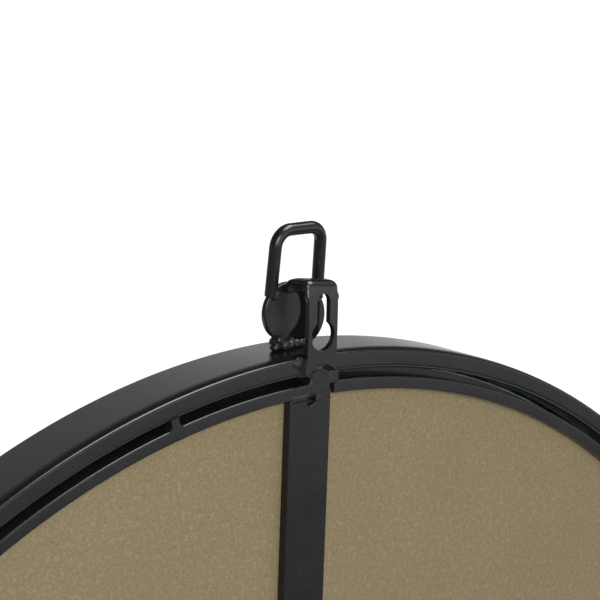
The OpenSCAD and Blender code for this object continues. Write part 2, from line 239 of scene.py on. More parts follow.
def coat_texture_group():
    """Orange peel, fine grit, dust and cloudy gloss of a powder coat"""
    name = "powder_coat_texture"
    if name in bpy.data.node_groups:
        return bpy.data.node_groups[name]
    group = bpy.data.node_groups.new(name, "ShaderNodeTree")
    for way, kind, labels in (("INPUT", "Vector", ("Vector",)), ("INPUT", "Color", ("Colour",)),
                              ("INPUT", "Float", ("Peel scale", "Grit", "Lumps", "Roughness")),
                              ("OUTPUT", "Color", ("Colour",)),
                              ("OUTPUT", "Float", ("Roughness", "Height"))):
        for label in labels:
            group.interface.new_socket(name=label, in_out=way, socket_type="NodeSocket" + kind)
    n = Nodes(group)
    given = n.add("NodeGroupInput").outputs
    out = n.add("NodeGroupOutput")
    peel = n.add("ShaderNodeTexNoise")
    fill(peel, {"Detail": 2.0})
    n.link(given["Vector"], peel, "Vector")
    n.link(given["Peel scale"], peel, "Scale")
    grit = n.noise(given["Vector"], 3600.0, 3.0, 0.6)
    lumps = n.noise(given["Vector"], 430.0, 3.0, 0.6)
    cloud = n.noise(given["Vector"], 38.0, 3.0, 0.55)
    fleck = n.noise(given["Vector"], 2100.0, 1.0, 0.5)
    height = n.maths("ADD", peel.outputs["Fac"], n.times(grit, given["Grit"]))
    height = n.maths("ADD", height, n.times(lumps, given["Lumps"]))
    rough = n.maths("ADD", given["Roughness"], n.remap(cloud, 0.3, 0.7, -0.03, 0.03))
    rough = n.maths("ADD", rough, n.remap(grit, 0.35, 0.65, -0.03, 0.03))
    pale = n.mix(n.remap(cloud, 0.35, 0.75, 0.0, 0.35), given["Colour"], (0.018, 0.0178, 0.0172))
    pale = n.mix(n.remap(fleck, 0.70, 0.78, 0.0, 0.5), pale, (0.10, 0.10, 0.098))
    n.link(pale, out, "Colour")
    n.link(rough, out, "Roughness")
    n.link(height, out, "Height")
    return group


def start_material(name):
    """A new material, its node helper, its shader and the place on the piece, in metres"""
    material = bpy.data.materials.new(name)
    material.use_nodes = True
    tree = material.node_tree
    shader = tree.nodes["Principled BSDF"]
    n = Nodes(tree)
    place = n.add("ShaderNodeTexCoord").outputs["Object"]
    return material, n, shader, place


def add_bump(n, shader, height, strength, distance):
    """Small relief from a height; distance in metres"""
    bump = n.add("ShaderNodeBump")
    fill(bump, {"Strength": strength, "Distance": distance})
    n.link(height, bump, "Height")
    n.link(bump.outputs["Normal"], shader, "Normal")


def patchy(name, grain, dark, pale, roughness):
    """A material in patches of two colours and two roughnesses; grain is the noise's scale, detail
    and roughness. Returns the material, its node helper, shader and place, and the patches"""
    material, n, shader, place = start_material(name)
    patch = n.noise(place, *grain)
    n.link(n.mix(n.remap(patch, 0.3, 0.7), dark, pale), shader, "Base Color")
    n.link(n.remap(patch, 0.3, 0.7, *roughness), shader, "Roughness")
    return material, n, shader, place, patch


def coated_steel(name, peel_scale=700.0, grit=0.35, lumps=0.0, rough_extra=0.0, relief=0.18):
    """Satin black powder coat on steel, or on rough weld metal"""
    if name in bpy.data.materials:
        return bpy.data.materials[name]
    finishes = bpy.context.scene.mirror_finishes
    material, n, shader, place = start_material(name)
    coat = n.add("ShaderNodeGroup", node_tree=coat_texture_group())
    n.link(place, coat, "Vector")
    fill(coat, {"Colour": (*finishes.coat_colour, 1), "Peel scale": peel_scale, "Grit": grit,
                "Lumps": lumps, "Roughness": finishes.coat_roughness + rough_extra})
    n.link(coat.outputs["Colour"], shader, "Base Color")
    n.link(coat.outputs["Roughness"], shader, "Roughness")
    fill(shader, {"IOR": 1.42})
    add_bump(n, shader, coat.outputs["Height"], relief, 0.00006)
    return material


def sheet_coat():
    """The coat on sheet, tube and bar"""
    return coated_steel("powder_coat_steel")


def smooth_weld_coat():
    """The coat on the smooth weld below the strap"""
    return coated_steel("powder_coat_smooth_weld", 620.0, 0.4, lumps=0.5, relief=0.3)


def weld_coat():
    """The coat on rough weld metal"""
    return coated_steel("powder_coat_weld", 520.0, 0.6, lumps=1.5, rough_extra=0.04, relief=0.6)


def disc_coat():
    """The coat on the disc, with the strap's shadow painted on: darker and less glossy outside a
    lit round patch
    """
    # In mm: middle and radius of the round lit patch, and the ends of the painted shadow across the
    # disc
    lit_x, lit_z, lit_r = 7.7, 7.2, 9.6
    shadow_from, shadow_to = -12.4, 4.0
    material = coated_steel("powder_coat_disc")
    n = Nodes(material.node_tree)
    shader = material.node_tree.nodes["Principled BSDF"]
    place = n.add("ShaderNodeTexCoord").outputs["Object"]
    flat = n.add("ShaderNodeMapping")
    fill(flat, {"Scale": (1.0, 0.0, 1.0), "Location": (-lit_x * MM, 0.0, -lit_z * MM)})
    n.link(place, flat, "Vector")
    away = n.add("ShaderNodeVectorMath", operation="LENGTH")
    n.link(flat.outputs["Vector"], away, 0)
    split = n.add("ShaderNodeSeparateXYZ")
    n.link(place, split, "Vector")
    # Painted shadow of the strap's head: 1 outside the lit patch, between its two ends across the
    # disc
    painted_shadow = n.times(n.ease(away.outputs["Value"], lit_r * MM, (lit_r + 0.9) * MM),
                   n.ease(split.outputs["X"], shadow_to * MM, (shadow_to - 2.0) * MM),
                   n.ease(split.outputs["X"], shadow_from * MM, (shadow_from + 1.0) * MM))
    colour = shader.inputs["Base Color"].links[0].from_socket
    # The painted shadow darkens the coat and takes away most of its reflection
    n.link(n.mix(painted_shadow, colour, (0.003, 0.003, 0.0032)), shader, "Base Color")
    n.link(n.remap(painted_shadow, 0.0, 1.0, 0.5, 0.05), shader, "Specular IOR Level")
    return material


def fibreboard():
    """Bare brown fibreboard with pressed fibres, pale and dark specks"""
    finishes = bpy.context.scene.mirror_finishes
    base = tuple(finishes.board_colour)
    material, n, shader, place = start_material("fibreboard")
    dark = tuple(c * 0.72 for c in base)
    pale = tuple(min(1.0, c * 1.35) for c in base)
    stretch = n.add("ShaderNodeMapping")
    fill(stretch, {"Scale": (1.0, 1.0, 2.6), "Rotation": (0.0, 0.6, 0.0)})
    n.link(place, stretch, "Vector")
    fibre = n.noise(stretch.outputs["Vector"], 900.0, 4.0, 0.65)
    speck = n.noise(place, 1900.0, 2.0, 0.6)
    cloud = n.noise(place, 24.0, 3.0, 0.55)
    clump = n.noise(place, 520.0, 2.0, 0.55)
    colour = n.mix(n.remap(fibre, 0.36, 0.60), dark, base)
    colour = n.mix(n.remap(clump, 0.52, 0.68, 0.0, 0.55), colour, pale)
    colour = n.mix(n.remap(speck, 0.56, 0.68, 0.0, 0.9), colour, pale)
    colour = n.mix(n.remap(speck, 0.44, 0.32, 0.0, 0.9), colour, dark)
    colour = n.mix(n.remap(cloud, 0.35, 0.7, 0.0, 0.2), colour, dark)
    n.link(colour, shader, "Base Color")
    n.link(n.remap(fibre, 0.3, 0.7, 0.86, 0.74), shader, "Roughness")
    fill(shader, {"Specular IOR Level": 0.25})
    add_bump(n, shader, n.maths("ADD", fibre, speck), 0.5, 0.00008)
    return material


def mirror_face():
    """Silvered glass seen from the front"""
    dark, pale = (0.86, 0.885, 0.88), (0.88, 0.90, 0.895)
    material, _, shader, _, _ = patchy("silvered_mirror", (9.0, 3.0), dark, pale, (0.012, 0.03))
    fill(shader, {"Metallic": 1.0})
    return material


def glass_rim():
    """Ground and polished edge of the glass, greenish"""
    tint = tuple(bpy.context.scene.mirror_finishes.glass_tint)
    dark = tuple(c * 0.8 for c in tint)
    return patchy("glass_edge", (600.0, 3.0, 0.6), dark, tint, (0.12, 0.24))[0]


def mirror_paint():
    """Dark protective paint behind the silver"""
    dark, pale = (0.03, 0.031, 0.033), (0.05, 0.052, 0.055)
    material, n, shader, place, _ = patchy(
        "mirror_back_paint", (45.0, 4.0, 0.6), dark, pale, (0.42, 0.55))
    add_bump(n, shader, n.noise(place, 1400.0, 2.0), 0.2, 0.00003)
    return material


def soft_filler(name, dark, pale, scale, rough):
    """Silicone or foam: a soft filler with small cells or smears"""
    material, n, shader, _, cells = patchy(
        name, (scale, 3.0, 0.6), dark, pale, (rough, rough + 0.12))
    add_bump(n, shader, cells, 0.4, 0.00006)
    return material


def add_object(name, data):
    """A new object in the scene"""
    thing = bpy.data.objects.new(name, data)
    bpy.context.scene.collection.objects.link(thing)
    return thing


def finish_piece(name, mesh, material, slot, *replaced):
    """Adds a piece that rides on the one body, in its material, and stands for CAD nodes"""
    mesh.materials.clear()
    mesh.materials.append(material)
    mesh.shade_smooth()
    mesh.set_sharp_from_angle(angle=radians(40))
    # Flat faces stay flat beside their rounded edges
    mesh = apply_modifiers(mesh, ("WEIGHTED_NORMAL", {"keep_sharp": True}))
    mesh.name = name
    piece = add_object(name, mesh)
    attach(piece, "root")
    if replaced:
        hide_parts(*replaced)


def apply_modifiers(mesh, *modifiers):
    """Returns the mesh after a list of (type, settings) modifiers"""
    scratch = add_object("scratch", mesh)
    for kind, settings in modifiers:
        modifier = scratch.modifiers.new(kind.lower(), kind)
        for key, value in settings.items():
            setattr(modifier, key, value)
    bpy.context.view_layer.update()
    shaped = scratch.evaluated_get(bpy.context.evaluated_depsgraph_get())
    done = bpy.data.meshes.new_from_object(shaped)
    bpy.data.objects.remove(scratch)
    return done


def round_edges(mesh, width, segments=3):
    """Returns the mesh with its sharp edges rounded"""
    return apply_modifiers(mesh, ("BEVEL", {"width": width, "segments": segments,
                                            "limit_method": "ANGLE", "angle_limit": radians(55)}))


def mesh_from(bm, name="blank"):
    """Ends the building of a mesh, with its faces outwards"""
    bmesh.ops.recalc_face_normals(bm, faces=bm.faces)
    mesh = bpy.data.meshes.new(name)
    bm.to_mesh(mesh)
    bm.free()
    return mesh


def loft(bm, rows, closed=False):
    """Faces from row to row of corners: round again to the first, or with a lid at each end"""
    for one, two in zip(rows, rows[1:] + rows[:1] if closed else rows[1:]):
        for i in range(len(one)):
            bm.faces.new((one[i - 1], one[i], two[i], two[i - 1]))
    if not closed:
        bm.faces.new(rows[0])
        bm.faces.new(rows[-1][::-1])


def arc(centre, radius, start, end, steps):
    """Points on an arc; angles in degrees from the first axis towards the second"""
    return [(centre[0] + radius * cos(radians(start + (end - start) * i / steps)),
             centre[1] + radius * sin(radians(start + (end - start) * i / steps)))
            for i in range(steps + 1)]


def plate(outline, y_low, y_high):
    """A flat piece from an outline in the XZ plane, in mm, between two depths in metres"""
    bm = bmesh.new()
    loft(bm, [[bm.verts.new((x * MM, y, z * MM)) for x, z in outline] for y in (y_low, y_high)])
    return mesh_from(bm)


def cutter_plate(outline, depth):
    """A plate to cut with, from 1 mm beyond the wall plane to a depth in mm"""
    return plate(outline, -depth * MM, MM)


def turned_ring(profile, first=0.0, last=360.0):
    """A ring about the mirror's axis from a closed outline of (radius, depth) points, in mm"""
    bm = bmesh.new()
    count, whole = 360, last - first > 359.99
    rows = []
    for i in range(count if whole else count + 1):
        a = radians(first + (last - first) * i / count)
        rows.append([bm.verts.new((r * sin(a) * MM, -depth * MM, (AXIS_Z + r * cos(a)) * MM))
                     for r, depth in profile])
    loft(bm, rows, whole)
    return mesh_from(bm)


def tube_profile():
    """The tube's outline: the band's back part is softly crowned before its tight back corner"""
    # Depths where the crown starts and ends, its slope there in degrees, and the corners' roundings
    flat_from, crown_to, tilt = 7.0, 3.11, 14.0
    corner, soft = 1.2, 1.8
    slope = tan(radians(tilt))
    crown = []
    for i in range(9):
        s = (flat_from - crown_to) * i / 8
        crown.append((FRAME_R - slope * s * s / (2 * (flat_from - crown_to)), flat_from - s))
    end_r = crown[-1][0] - corner * cos(radians(tilt))
    points = crown + arc((end_r, crown_to + corner * sin(radians(tilt))), corner, -tilt, -90, 8)[1:]
    points += arc((GROOVE_OUTER_R + soft, BACK_DEPTH + soft), soft, -90, -180, 10)
    points += arc((GROOVE_OUTER_R + corner, FRONT_DEPTH - corner), corner, 180, 90, 6)
    points += arc((FRAME_R - corner, FRONT_DEPTH - corner), corner, 90, 0, 8)
    return points


def ring_profile():
    """The retaining ring's outline, rounded at its two back corners"""
    outer, inner, front = 0.75, 0.5, 5.8
    points = arc((GROOVE_INNER_R - outer, BACK_DEPTH + outer), outer, 0, -90, 6)
    points += arc((RING_BORE_R + inner, BACK_DEPTH + inner), inner, -90, -180, 6)
    return points + [(RING_BORE_R, front), (GROOVE_INNER_R, front)]


def stop_profile():
    """The front stop's outline, rounded at the edge that shows in front"""
    edge, bore_r, back, front = 0.2, GROOVE_OUTER_R - 3, 19.8, 21.4
    points = arc((bore_r + edge, front - edge), edge, 180, 90, 3)
    return points + [(GROOVE_OUTER_R, front), (GROOVE_OUTER_R, back), (bore_r, back)]


def keyhole_outline(sizes):
    """Round hole with its slot above"""
    r, half = sizes.hole_d / MM / 2, sizes.slot_w / MM / 2
    turn = degrees(asin(half / r))
    return (arc((0, 0), r, 90 - turn, -270 + turn, 72)
            + arc((0, sizes.slot_rise / MM), half, 180, 0, 32))


def ease(value, low, high):
    """Smooth step from 0 at low to 1 at high"""
    f = min(1.0, max(0.0, (value - low) / (high - low)))
    return f * f * (3 - 2 * f)


def blend(one, two, f):
    """From one at f = 0 to two at f = 1"""
    return one + (two - one) * f


def section_stations(sizes):
    """Stations along the strap's middle line: depth, height, normal's angle, half width,
    and the outer corners' rounding across and through the steel"""
    t = sizes.strap_t / MM
    narrow, wide = sizes.strap_w / MM / 2, sizes.head_w / MM / 2
    edge = sizes.edge_r / MM
    # Rounding of the outer corners at the fold and at the lip
    full, tip = (3.2, 1.7), (1.2, 0.9)
    # The upright face bows a little away from the wall, from this height to its fold
    bow, bow_from = 0.0015, 1.0
    # Middles and radii of the fold, the flat arch over the head and the lip
    fold, fold_r = (3.0, 17.5), 1.9
    roof, roof_r, roof_turn = (4.78, 4.4), 15.0, 24
    lip, lip_r, lip_end = (9.91, 15.92), 2.39, 14.67
    stations = []
    for z in (FOOT_Z - 0.1, -12.0, -9.5, -7.2, -3.0, 2.0, 7.0, 11.0, 12.6, 13.2, 13.8, 14.4, 15.0,
              15.6, 16.2, 16.9):
        soft = ease(z, 13.4, 17.4)
        half = blend(narrow, wide, ease(z, 12.6, 14.6))
        rise = max(0.0, z - bow_from)
        stations.append((t / 2 + bow * rise * rise, z, 180 - degrees(atan(2 * bow * rise)), half,
                         blend(edge, full[0], soft), blend(edge, full[1], soft)))
    back = bow * (fold[1] - bow_from) ** 2
    for i in range(1, 15):
        a = 180 - 90 * i / 14
        depth, z = arc(fold, fold_r, a, a, 1)[0]
        stations.append((depth + back, z, a, wide, *full))
    for i in range(1, 13):
        f = i / 12
        a = 90 - roof_turn * f
        depth, z = arc(roof, roof_r, a, a, 1)[0]
        stations.append((depth + back * (1 - f), z, a, wide,
                         blend(full[0], tip[0], f), blend(full[1], tip[1], f)))
    for i in range(1, 9):
        a = (90 - roof_turn) * (1 - i / 8)
        stations.append((*arc(lip, lip_r, a, a, 1)[0], a, wide, *tip))
    stations.append((lip[0] + lip_r, lip_end, 0, wide, *tip))
    return stations


def strap_mesh(sizes):
    """The folded strap, swept along its middle line, its edges round and its head out of level"""
    t, edge, steps_round = sizes.strap_t / MM / 2, sizes.edge_r / MM, 8
    # The head's slope from side to side
    tilt = 0.11
    bm = bmesh.new()
    loops = []
    for depth, height, angle, half, across, through in section_stations(sizes):
        out_y, out_z = -cos(radians(angle)), sin(radians(angle))
        lift = tilt * (ease(height, 12.0, 17.0) if angle > 174 else 1.0)
        loop = []
        for sx, sn, start in ((1, 1, 0), (-1, 1, 90), (-1, -1, 180), (1, -1, 270)):
            rx, rn = (across, through) if sn > 0 else (edge, edge)
            for k in range(steps_round + 1):
                a = radians(start + 90 * k / steps_round)
                x = sx * (half - rx) + rx * cos(a)
                n = sn * (t - rn) + rn * sin(a)
                spot = Vector((x, -depth + out_y * n, height + out_z * n + lift * x))
                loop.append(bm.verts.new(spot * MM))
        loops.append(loop)
    loft(bm, loops)
    return mesh_from(bm)


def cut_with(mesh, *cutters):
    """Returns the mesh with the cutters taken out of it"""
    tools = [add_object("cutter", cutter) for cutter in cutters]
    cuts = [("BOOLEAN", {"object": tool, "operation": "DIFFERENCE", "solver": "EXACT"})
            for tool in tools]
    done = apply_modifiers(mesh, *cuts)
    for tool in tools:
        bpy.data.objects.remove(tool)
    if not done.polygons:
        raise RuntimeError("a cut left nothing of its piece")
    return done


def loop_path(sizes):
    """The loop's middle line in its own plane: sideways, and up from the shorter leg's end"""
    half, high = sizes.loop_w / MM / 2, (sizes.loop_h - sizes.bar_d / 2) / MM
    # Lean of the legs inwards, how much lower the longer leg ends, and the bends' radii
    slope, longer, bend_one, bend_two = radians(1.6), 3.042, 5.5, 6.4

    def side(way, corner, drop):
        cx = half - (high - corner) * tan(slope) - corner / cos(slope)
        cz = high - corner
        points = [(half + drop * sin(slope), -drop * cos(slope))]
        points += [(half - h * tan(slope), h) for h in (2.0, 6.0, 10.0, 14.0) if h < cz - 2]
        points += arc((cx, cz), corner, degrees(slope), 90, 22)
        return [(way * x, z) for x, z in points]
    return side(-1, bend_one, longer) + side(1, bend_two, 0.0)[::-1]


def rod_mesh(path, radius, place):
    """A round bar along a flat path, its ends a little chamfered; place(u, v, w) maps to metres"""
    bm = bmesh.new()
    rings, sides, chamfer = [], 32, 0.35
    spots = [(Vector(p), radius) for p in path]
    for end, inner in ((0, 1), (-1, -2)):
        way = (spots[inner][0] - spots[end][0]).normalized()
        shoulder = (spots[end][0] + way * chamfer, radius)
        spots[end] = (spots[end][0], radius - chamfer)
        spots.insert(1 if end == 0 else len(spots) - 1, shoulder)
    for i, (spot, r) in enumerate(spots):
        ahead, behind = spots[min(i + 1, len(spots) - 1)][0], spots[max(i - 1, 0)][0]
        along = (ahead - behind).normalized()
        side = Vector((-along.y, along.x))
        ring = []
        for k in range(sides):
            a = 2 * pi * k / sides
            p = spot + side * r * cos(a)
            ring.append(bm.verts.new(place(p.x, p.y, r * sin(a))))
        rings.append(ring)
    loft(bm, rings)
    return mesh_from(bm)


def steps(low, high, size):
    """Even steps of about a size from low to high"""
    count = max(2, round((high - low) / size))
    return [low + (high - low) * i / count for i in range(count + 1)]


def on_plane(x, z, h):
    """A place in metres at a height over the back faces"""
    return Vector((x * MM, (h - BACK_DEPTH) * MM, z * MM))


def on_ring(arc_length, r, h):
    """A place by the length along the groove from the top, the radius and the height"""
    a = arc_length / GROOVE_MID_R
    return Vector((r * sin(a) * MM, (h - BACK_DEPTH) * MM, (AXIS_Z + r * cos(a)) * MM))


def groove_plug(bm, start, end, bays):
    """Weld metal in the groove between two lengths along it; a bay says how far an end is hollowed
    back at v, from -1 at the groove's inner edge to 1 at its outer edge"""
    half = (GROOVE_OUTER_R - GROOVE_INNER_R) / 2 + 0.6
    ends = [[(at + way * bay(v), GROOVE_MID_R + half * v) for v in [-1 + k / 8 for k in range(17)]]
            for at, way, bay in ((start, 1, bays[0]), (end, -1, bays[1]))]
    outline = ends[0] + ends[1][::-1]
    loft(bm, [[bm.verts.new(on_ring(u, r, h)) for u, r in outline] for h in (0.02, -3.55)])


def foot_distance(x, z):
    """Distance in mm from the strap's foot, which ends in a hollow arc; nothing inside it"""
    rho = hypot(x, z - HOLLOW_Z)
    if abs(x) <= STRAP_HALF and z >= FOOT_Z - 0.01:
        return max(0.0, HOLLOW_R - rho)
    if abs(x) > STRAP_HALF:
        return hypot(abs(x) - STRAP_HALF, max(FOOT_Z - z, 0.0))
    if rho < HOLLOW_R and (z - HOLLOW_Z) * HOLLOW_R >= (FOOT_Z - HOLLOW_Z) * rho:
        return HOLLOW_R - rho
    return hypot(STRAP_HALF - abs(x), FOOT_Z - z)


def pad_floor(x):
    """Height of the pad's lower edge on the brace bar"""
    spots = ((-7.0, -22.9), (-3.6, -25.0), (0.4, -26.2), (1.2, -26.0), (1.4, -22.9), (13.0, -22.9))
    for (x0, z0), (x1, z1) in zip(spots, spots[1:]):
        if x <= x1:
            break
    return blend(z0, z1, min(1.0, max(0.0, (x - x0) / (x1 - x0))))


def mound_height(x, z):
    """The smooth weld below the strap: over the groove, up to the strap and down to the brace"""
    # Heights over the back faces: at the strap's edge, on its face, on the body of the weld, over
    # the groove and along the brace bar's end
    side_top, lap_low, lap_rise, body_top, cap_top, joint_top = 2.205, 2.17, 0.035, 0.75, 0.14, 0.1
    # How far the fillet reaches, half the width of the groove's filling and where that ends
    reach, plug_half, plug_end = 3.4, 1.75, 3.5
    r = hypot(x, z - AXIS_Z)
    rho = hypot(x, z - HOLLOW_Z)
    left = ease(x, -2.4, -0.6)
    away = foot_distance(x, z)
    fillet = side_top * (1 - ease(away, 0.0, reach)) * left
    if away == 0.0 and z < -7.5:
        # The weld laps onto the strap's face just above the foot's hollow end
        fillet = (lap_low + lap_rise * (1 - ease(rho - HOLLOW_R, 0.2, 1.6))) * left
    if x > STRAP_HALF:
        fillet *= 1 - ease(x, STRAP_HALF + 0.1, STRAP_HALF + 2.7)
    fillet *= 1 - ease(z, -8.0, -7.3)
    across = ease(x, -7.0, -6.2) * (1 - ease(x, -1.0, 5.2))
    body = body_top * (1 - ease(rho, 6.9, 8.5)) * across * ease(z, pad_floor(x), pad_floor(x) + 1.1)
    over_groove = ease(r, GROOVE_INNER_R - 1.0, GROOVE_INNER_R - 0.2) * (
        1 - ease(r, GROOVE_OUTER_R + 0.2, GROOVE_OUTER_R + 1.0))
    cap = cap_top * ease(x, -10.4, -9.6) * (1 - ease(x, 3.0, 4.2)) * over_groove
    along = ease(x, -6.6, -5.8) * (1 - ease(x, 11.0, 12.4))
    joint = joint_top * (1 - ease(abs(r - RING_BORE_R), 0.5, 1.6)) * along
    plain = max(body, cap, joint)
    meet = (1 - ease(away, 0.5, 3.0)) * (away > 0)
    height = max(plain, fillet) + 0.5 * min(plain, fillet) * meet
    if x > 2.0:
        # The groove's open end is round: the skin stops before it
        off = abs(r - GROOVE_MID_R)
        end = plug_end + 1.9 * (1 - sqrt(1 - min(1.0, off / plug_half) ** 2))
        height *= 1 - ease(x, end - 1.0, end) * (1 - ease(off, 1.5, 2.3))
    wobble = 1 + 0.05 * noise.noise(Vector((x * 0.35, z * 0.35, 3.1))) * (away > 0)
    return height * wobble


def mound_skin(bm, columns, rows):
    """The closed skin of the mound over a grid; its underside lies sunk in the steel"""
    top, low, edge_h, sink = {}, {}, 0.004, 0.5
    values = {(i, j): mound_height(x, z) for i, x in enumerate(columns) for j, z in enumerate(rows)}
    quads = [[(i, j), (i + 1, j), (i + 1, j + 1), (i, j + 1)]
             for i in range(len(columns) - 1) for j in range(len(rows) - 1)]
    quads = [quad for quad in quads if min(values[k] for k in quad) > edge_h]
    used = {k for quad in quads for k in quad}
    for i, j in used:
        x, z = columns[i], rows[j]
        rim = any((i + a, j + b) not in used for a in (-1, 0, 1) for b in (-1, 0, 1))
        top[i, j] = bm.verts.new(on_plane(x, z, edge_h if rim else values[i, j]))
        low[i, j] = bm.verts.new(on_plane(x, z, -sink))
    sides = [side for quad in quads for side in zip(quad, quad[1:] + quad[:1])]
    for quad in quads:
        bm.faces.new([top[k] for k in quad])
        bm.faces.new([low[k] for k in reversed(quad)])
    shared = set(sides)
    for a, b in sides:
        if (b, a) not in shared:
            bm.faces.new((top[b], top[a], low[a], low[b]))


def lump_mesh(lumps, voxel, rough, seed):
    """Rough weld metal: lumps run together, each (x, y, z, r) or with three radii, in mm"""
    bm = bmesh.new()
    for x, y, z, *radii in lumps:
        radii = radii * 3 if len(radii) == 1 else radii
        made = bmesh.ops.create_icosphere(bm, subdivisions=3, radius=1.0)["verts"]
        for v in made:
            v.co = (Vector((x, y, z)) + v.co * Vector(radii)) * MM
    mesh = apply_modifiers(mesh_from(bm), ("REMESH", {"mode": "VOXEL", "voxel_size": voxel * MM}),
                           ("SMOOTH", {"factor": 0.5, "iterations": 4}))
    start = Vector((seed, 0, 0))
    moved = [v.co + v.normal * rough * MM * noise.fractal(v.co / MM * 0.9 + start, 0.8, 2.0, 3)
             for v in mesh.vertices]
    for v, co in zip(mesh.vertices, moved):
        v.co = co
    return mesh


def bead(start, end, radius):
    """Lumps along a line, for a run of weld"""
    a, b = Vector(start), Vector(end)
    count = max(1, round((b - a).length / (radius * 0.7)))
    lumps = []
    for i in range(count + 1):
        p = a.lerp(b, i / count)
        lumps.append((*p, radius * (1 + 0.12 * noise.noise(p * 0.9))))
    return lumps


def coat_node(name, *materials):
    """Gives a CAD node one material, or one for its flat faces and one for its edge, or one each
    for its front, its edge and its back"""
    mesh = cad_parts[name].data
    mesh.materials.clear()
    for material in materials:
        mesh.materials.append(material)
    for face in mesh.polygons:
        part = 0 if face.normal.y <= -0.95 else 2 if face.normal.y >= 0.95 else 1
        face.material_index = part if part < len(materials) else 0


class MirrorStep:
    """What the operators share"""

    bl_options = {"REGISTER", "UNDO"}


class MIRROR_OT_turn_frame(MirrorStep, bpy.types.Operator):
    """Turns the tube, the front stop and the retaining ring, and coats them"""

    bl_idname = "mirror.turn_frame"
    bl_label = "Turn the frame"

    def execute(self, context):
        for name, node, profile, ends in (
                ("frame_tube_turned", "outer_frame", tube_profile(), ()),
                ("front_stop_turned", "front_stop", stop_profile(), ()),
                ("retaining_ring_turned", "retaining_ring", ring_profile(), SEAM_ENDS)):
            finish_piece(name, turned_ring(profile, *ends), sheet_coat(), "black_steel", node)
        coat_node("stop_tacks", weld_coat())
        return {"FINISHED"}


class MIRROR_OT_silver_glass(MirrorStep, bpy.types.Operator):
    """Silvers the glass, paints its back and grinds its edge"""

    bl_idname = "mirror.silver_glass"
    bl_label = "Silver the glass"

    def execute(self, context):
        coat_node("mirror_glass", mirror_face(), glass_rim(), mirror_paint())
        return {"FINISHED"}


class MIRROR_OT_dress_back(MirrorStep, bpy.types.Operator):
    """Gives the fibreboard, foam tape and silicone their looks; the board's edge takes the black
    coat, as overspray and as painted shade deep in the groove
    """

    bl_idname = "mirror.dress_back"
    bl_label = "Dress the back"

    def execute(self, context):
        # The board's edge is black: partly overspray, partly painted shade where it lies deep in
        # the groove
        coat_node("backing_board", fibreboard(), sheet_coat())
        coat_node("mounting_tape", soft_filler(
            "foam_tape", (0.62, 0.6, 0.53), (0.74, 0.72, 0.65), 1600.0, 0.8))
        coat_node("glazing_dabs", soft_filler(
            "silicone_dab", (0.012, 0.012, 0.013), (0.022, 0.022, 0.023), 500.0, 0.3))
        return {"FINISHED"}


class MIRROR_OT_fold_strap(MirrorStep, bpy.types.Operator):
    """Folds the keyhole strap with its round edges"""

    bl_idname = "mirror.fold_strap"
    bl_label = "Fold the strap"

    def execute(self, context):
        sizes = context.scene.mirror_sizes
        keyhole = cutter_plate(keyhole_outline(sizes), 2.6)
        mesh = cut_with(strap_mesh(sizes), keyhole)
        mesh = round_edges(mesh, sizes.edge_r * 1.3)
        foot = arc((0, HOLLOW_Z), HOLLOW_R, 0, 357.5, 143)
        mesh = cut_with(mesh, cutter_plate(foot, 3.4))
        finish_piece("hanger_strap_folded", mesh, sheet_coat(), "black_steel", "hanger_strap")
        return {"FINISHED"}


class MIRROR_OT_cut_brace(MirrorStep, bpy.types.Operator):
    """Cuts the upright brace bar with its soft edges and its notch"""

    bl_idname = "mirror.cut_brace"
    bl_label = "Cut the brace bar"

    def execute(self, context):
        low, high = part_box("brace_bar")
        middle, half = (low.x + high.x) / 2 / MM, (high.x - low.x) / 2 / MM
        reach, count = RING_BORE_R - 0.3, 8

        def end(x, way):
            return middle + x, AXIS_Z + way * sqrt(reach * reach - (middle + x) ** 2)
        across = [half - (half - NOTCH_R) * i / count for i in range(count + 1)]
        outline = [end(x, 1) for x in across]
        outline += arc((middle, NOTCH_Z), NOTCH_R, 0, -180, 20)
        outline += [end(-x, 1) for x in reversed(across)]
        outline += [end(half * (i / count - 1), -1) for i in range(2 * count + 1)]
        edge_r = context.scene.mirror_sizes.edge_r
        mesh = round_edges(plate(outline, low.y, high.y), edge_r)
        finish_piece("brace_bar_cut", mesh, sheet_coat(), "black_steel", "brace_bar")
        return {"FINISHED"}


class MIRROR_OT_stamp_disc(MirrorStep, bpy.types.Operator):
    """Stamps the thin oval crest disc, turned so that one end stands higher"""

    bl_idname = "mirror.stamp_disc"
    bl_label = "Stamp the disc"

    def execute(self, context):
        low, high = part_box("crest_disc")
        # Radius of its round ends, their middles from its own, and its turn in degrees
        radius, lobe, turn = 11.0, (3.861, 1.521), 21.5
        centre_z = high.z / MM - radius - lobe[1]
        outline = arc((lobe[0], centre_z + lobe[1]), radius, turn - 90, turn + 90, 48)
        outline += arc((-lobe[0], centre_z - lobe[1]), radius, turn + 90, turn + 270, 48)
        mesh = round_edges(plate(outline, low.y, high.y), 0.6 * MM, 4)
        finish_piece("crest_disc_stamped", mesh, disc_coat(), "black_steel", "crest_disc")
        return {"FINISHED"}


class MIRROR_OT_bend_loop(MirrorStep, bpy.types.Operator):
    """Bends the top loop from round bar and leans it towards the wall"""

    bl_idname = "mirror.bend_loop"
    bl_label = "Bend the loop"

    def execute(self, context):
        sizes = context.scene.mirror_sizes
        # Lean to the wall, and the height and depth of the shorter leg's end
        lean, foot_z, depth = radians(4), 12.952, 16.8

        def place(x, up, out):
            return Vector((x, -depth + up * sin(lean) - out * cos(lean),
                           foot_z + up * cos(lean) + out * sin(lean))) * MM
        mesh = rod_mesh(loop_path(sizes), sizes.bar_d / MM / 2, place)
        finish_piece("top_loop_bent", mesh, sheet_coat(), "black_steel", "top_loop")
        return {"FINISHED"}


